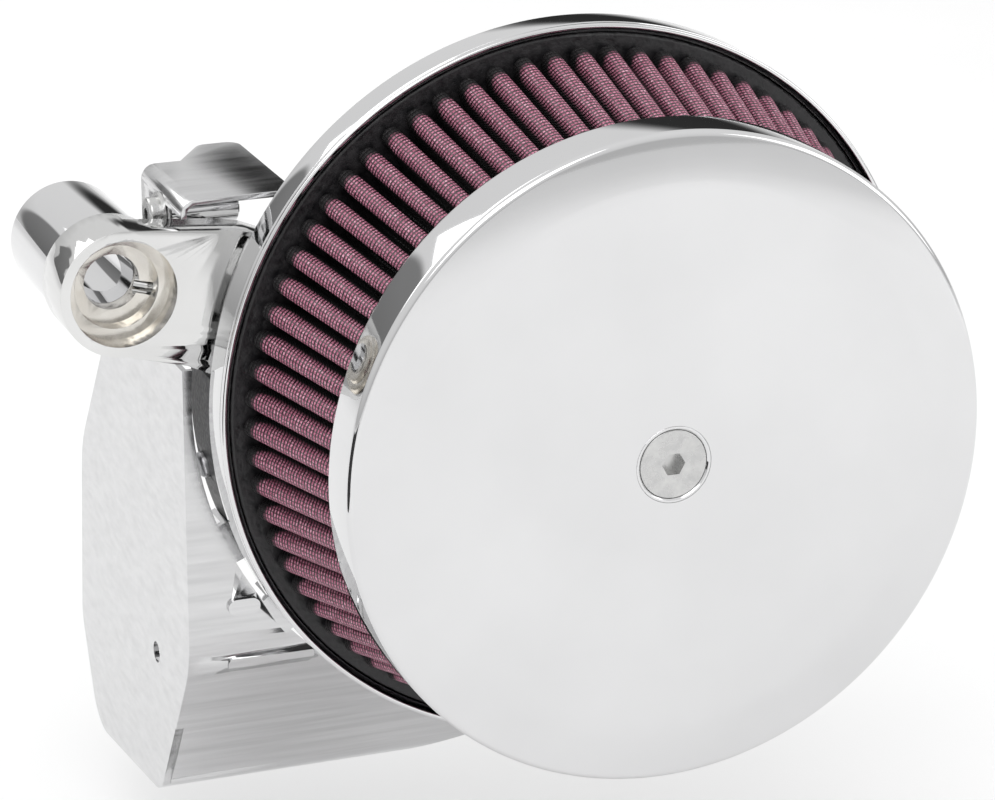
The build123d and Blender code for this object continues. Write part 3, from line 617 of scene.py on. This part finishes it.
# %% Paint the rest
FINISH = {"black_casting": casting, "black_rubber": rubber, "zinc_steel": zinc, "screw_steel": screw_steel}
slots = {p["node"]: p["material_slot"] for p in frame["record"]["subparts"]}
for name, piece in nodes.items():
    if slots[name] in FINISH:
        piece.data.materials.clear()
        piece.data.materials.append(FINISH[slots[name]])
print("painted", len(nodes), "parts")

# %% [markdown]
# ## Studio
# A mirror shows the room, so the room is the paint. The world is a soft white tent, darker
# low down, three large soft lights shape it, and the floor is plain and pale.

# %% The floor
scene = bpy.context.scene
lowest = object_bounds()[0][2]
floor_mesh = bpy.data.meshes.new("floor")
w, floor_z = 6.0, lowest - 0.03
floor_corners = [(-w, -w, floor_z), (w, -w, floor_z), (w, w, floor_z), (-w, w, floor_z)]
floor_mesh.from_pydata(floor_corners, [], [(0, 1, 2, 3)])
floor = bpy.data.objects.new("floor", floor_mesh)
scene.collection.objects.link(floor)
pale, tree, shader, coords = new_material("pale_floor")
tone = noise(tree, coords.outputs["Object"], 3.0)
tree.links.new(ramp(tree, tone, [(0.3, 0.90), (0.7, 0.93)]), shader.inputs["Base Color"])
shader.inputs["Roughness"].default_value = 0.9
floor.data.materials.append(pale)
print("floor at", round(floor_z, 3))

# %% [markdown]
# ## The tent and its dark gaps
# Chrome under an all-white tent looks like paper. Photographers leave gaps, or hang black
# flags, so that a round part shows a dark stripe that tells its shape. Two such gaps are
# put in the tent, behind the part to the right and to the left.

# %% The tent
world = bpy.data.worlds.new("tent")
scene.world = world
world.use_nodes = True
tree = world.node_tree
coords = tree.nodes.new("ShaderNodeTexCoord")
split = tree.nodes.new("ShaderNodeSeparateXYZ")
tree.links.new(coords.outputs["Generated"], split.inputs[0])
height = math_node(tree, "ADD", math_node(tree, "MULTIPLY", split.outputs[2], 0.5), 0.5)
sky = ramp(tree, height, [(0.0, 0.6), (0.5, 0.62), (0.62, 0.86), (1.0, 1.0)])


def flag(direction, inner, outer, depth):
    """1 away from a direction, falling to 1 - depth within the inner angle (degrees) of it."""
    dot = tree.nodes.new("ShaderNodeVectorMath")
    dot.operation = "DOT_PRODUCT"
    dot.inputs[1].default_value = Vector(direction).normalized()
    tree.links.new(coords.outputs["Generated"], dot.inputs[0])
    fall = tree.nodes.new("ShaderNodeMapRange")
    fall.interpolation_type = "SMOOTHSTEP"
    fall.inputs["From Min"].default_value = math.cos(math.radians(outer))
    fall.inputs["From Max"].default_value = math.cos(math.radians(inner))
    fall.inputs["To Min"].default_value = 1.0
    fall.inputs["To Max"].default_value = 1.0 - depth
    tree.links.new(dot.outputs["Value"], fall.inputs["Value"])
    return fall.outputs["Result"]


right_gap = flag((0.42, 0.88, 0.20), 6, 13, 0.96)
left_gap = flag((-0.45, 0.88, 0.13), 11, 13, 0.7)
shade = math_node(tree, "MULTIPLY", right_gap, left_gap)
dimmed = tree.nodes.new("ShaderNodeVectorMath")
dimmed.operation = "SCALE"
tree.links.new(sky, dimmed.inputs[0])
tree.links.new(shade, dimmed.inputs["Scale"])
tree.links.new(dimmed.outputs["Vector"], tree.nodes["Background"].inputs["Color"])
tree.nodes["Background"].inputs["Strength"].default_value = 0.95

print("tent ready")

# %% [markdown]
# ## A black card
# A card beside the arm is seen only in the mirrors: it neither casts a shadow nor shows.

# %% The card
card_mesh = bpy.data.meshes.new("dark_card")
card_x, front, rear, foot = cover_low[0] - 0.36, -0.40, -0.02, lowest - 0.02
card_corners = [(card_x, front, foot), (card_x, rear, foot), (card_x, rear, 0.0), (card_x, front, 0.0)]
card_mesh.from_pydata(card_corners, [], [(0, 1, 2, 3)])
card = bpy.data.objects.new("dark_card", card_mesh)
scene.collection.objects.link(card)
card_mesh.materials.append(casting)
card.visible_camera = False
card.visible_diffuse = False
card.visible_shadow = False
print("card at", round(card_x, 3))

# %% [markdown]
# ## Three soft lights
# A big light makes soft shadows. The key is high at the front left, the side light fills the
# right, and the rear light edges the bracket and the pan.


# %% The lights
def soft_light(name, place, target, size, power):
    """A square area light that faces its target."""
    data = bpy.data.lights.new(name, "AREA")
    data.shape = "SQUARE"
    data.size = size
    data.energy = power
    light = bpy.data.objects.new(name, data)
    light.location = place
    light.rotation_euler = (Vector(target) - Vector(place)).to_track_quat("-Z", "Y").to_euler()
    scene.collection.objects.link(light)


soft_light("key", (-0.6, -1.3, 1.6), (0, 0, 0), 1.4, 12)
soft_light("side", (1.5, -0.9, 0.7), (0, 0, 0), 1.2, 6)
soft_light("rear", (-0.9, 1.2, 1.3), (0, 0, 0), 1.2, 7)
print("lights ready")

# %% [markdown]
# ## Camera
# A long lens from the front left, a little above, as for a catalogue picture.

# %% The camera
FOCAL_PIXELS = 4100
camera_data = bpy.data.cameras.new("camera")
camera_data.lens = 36.0 * FOCAL_PIXELS / 995
camera_data.clip_end = 50
camera = bpy.data.objects.new("camera", camera_data)
azimuth, elevation = math.radians(-20.99), math.radians(19.18)
back = Vector(
    (math.sin(azimuth) * math.cos(elevation), -math.cos(azimuth) * math.cos(elevation), math.sin(elevation))
)
cover_centre = Vector((0, face * MM, 0))
camera.location = cover_centre + Vector((-0.3912, -0.8948, 0.3567))
camera.rotation_euler = (-back).to_track_quat("-Z", "Y").to_euler()
scene.collection.objects.link(camera)
scene.camera = camera
scene.view_settings.view_transform = "Standard"
print("camera at", [round(c, 3) for c in camera.location])
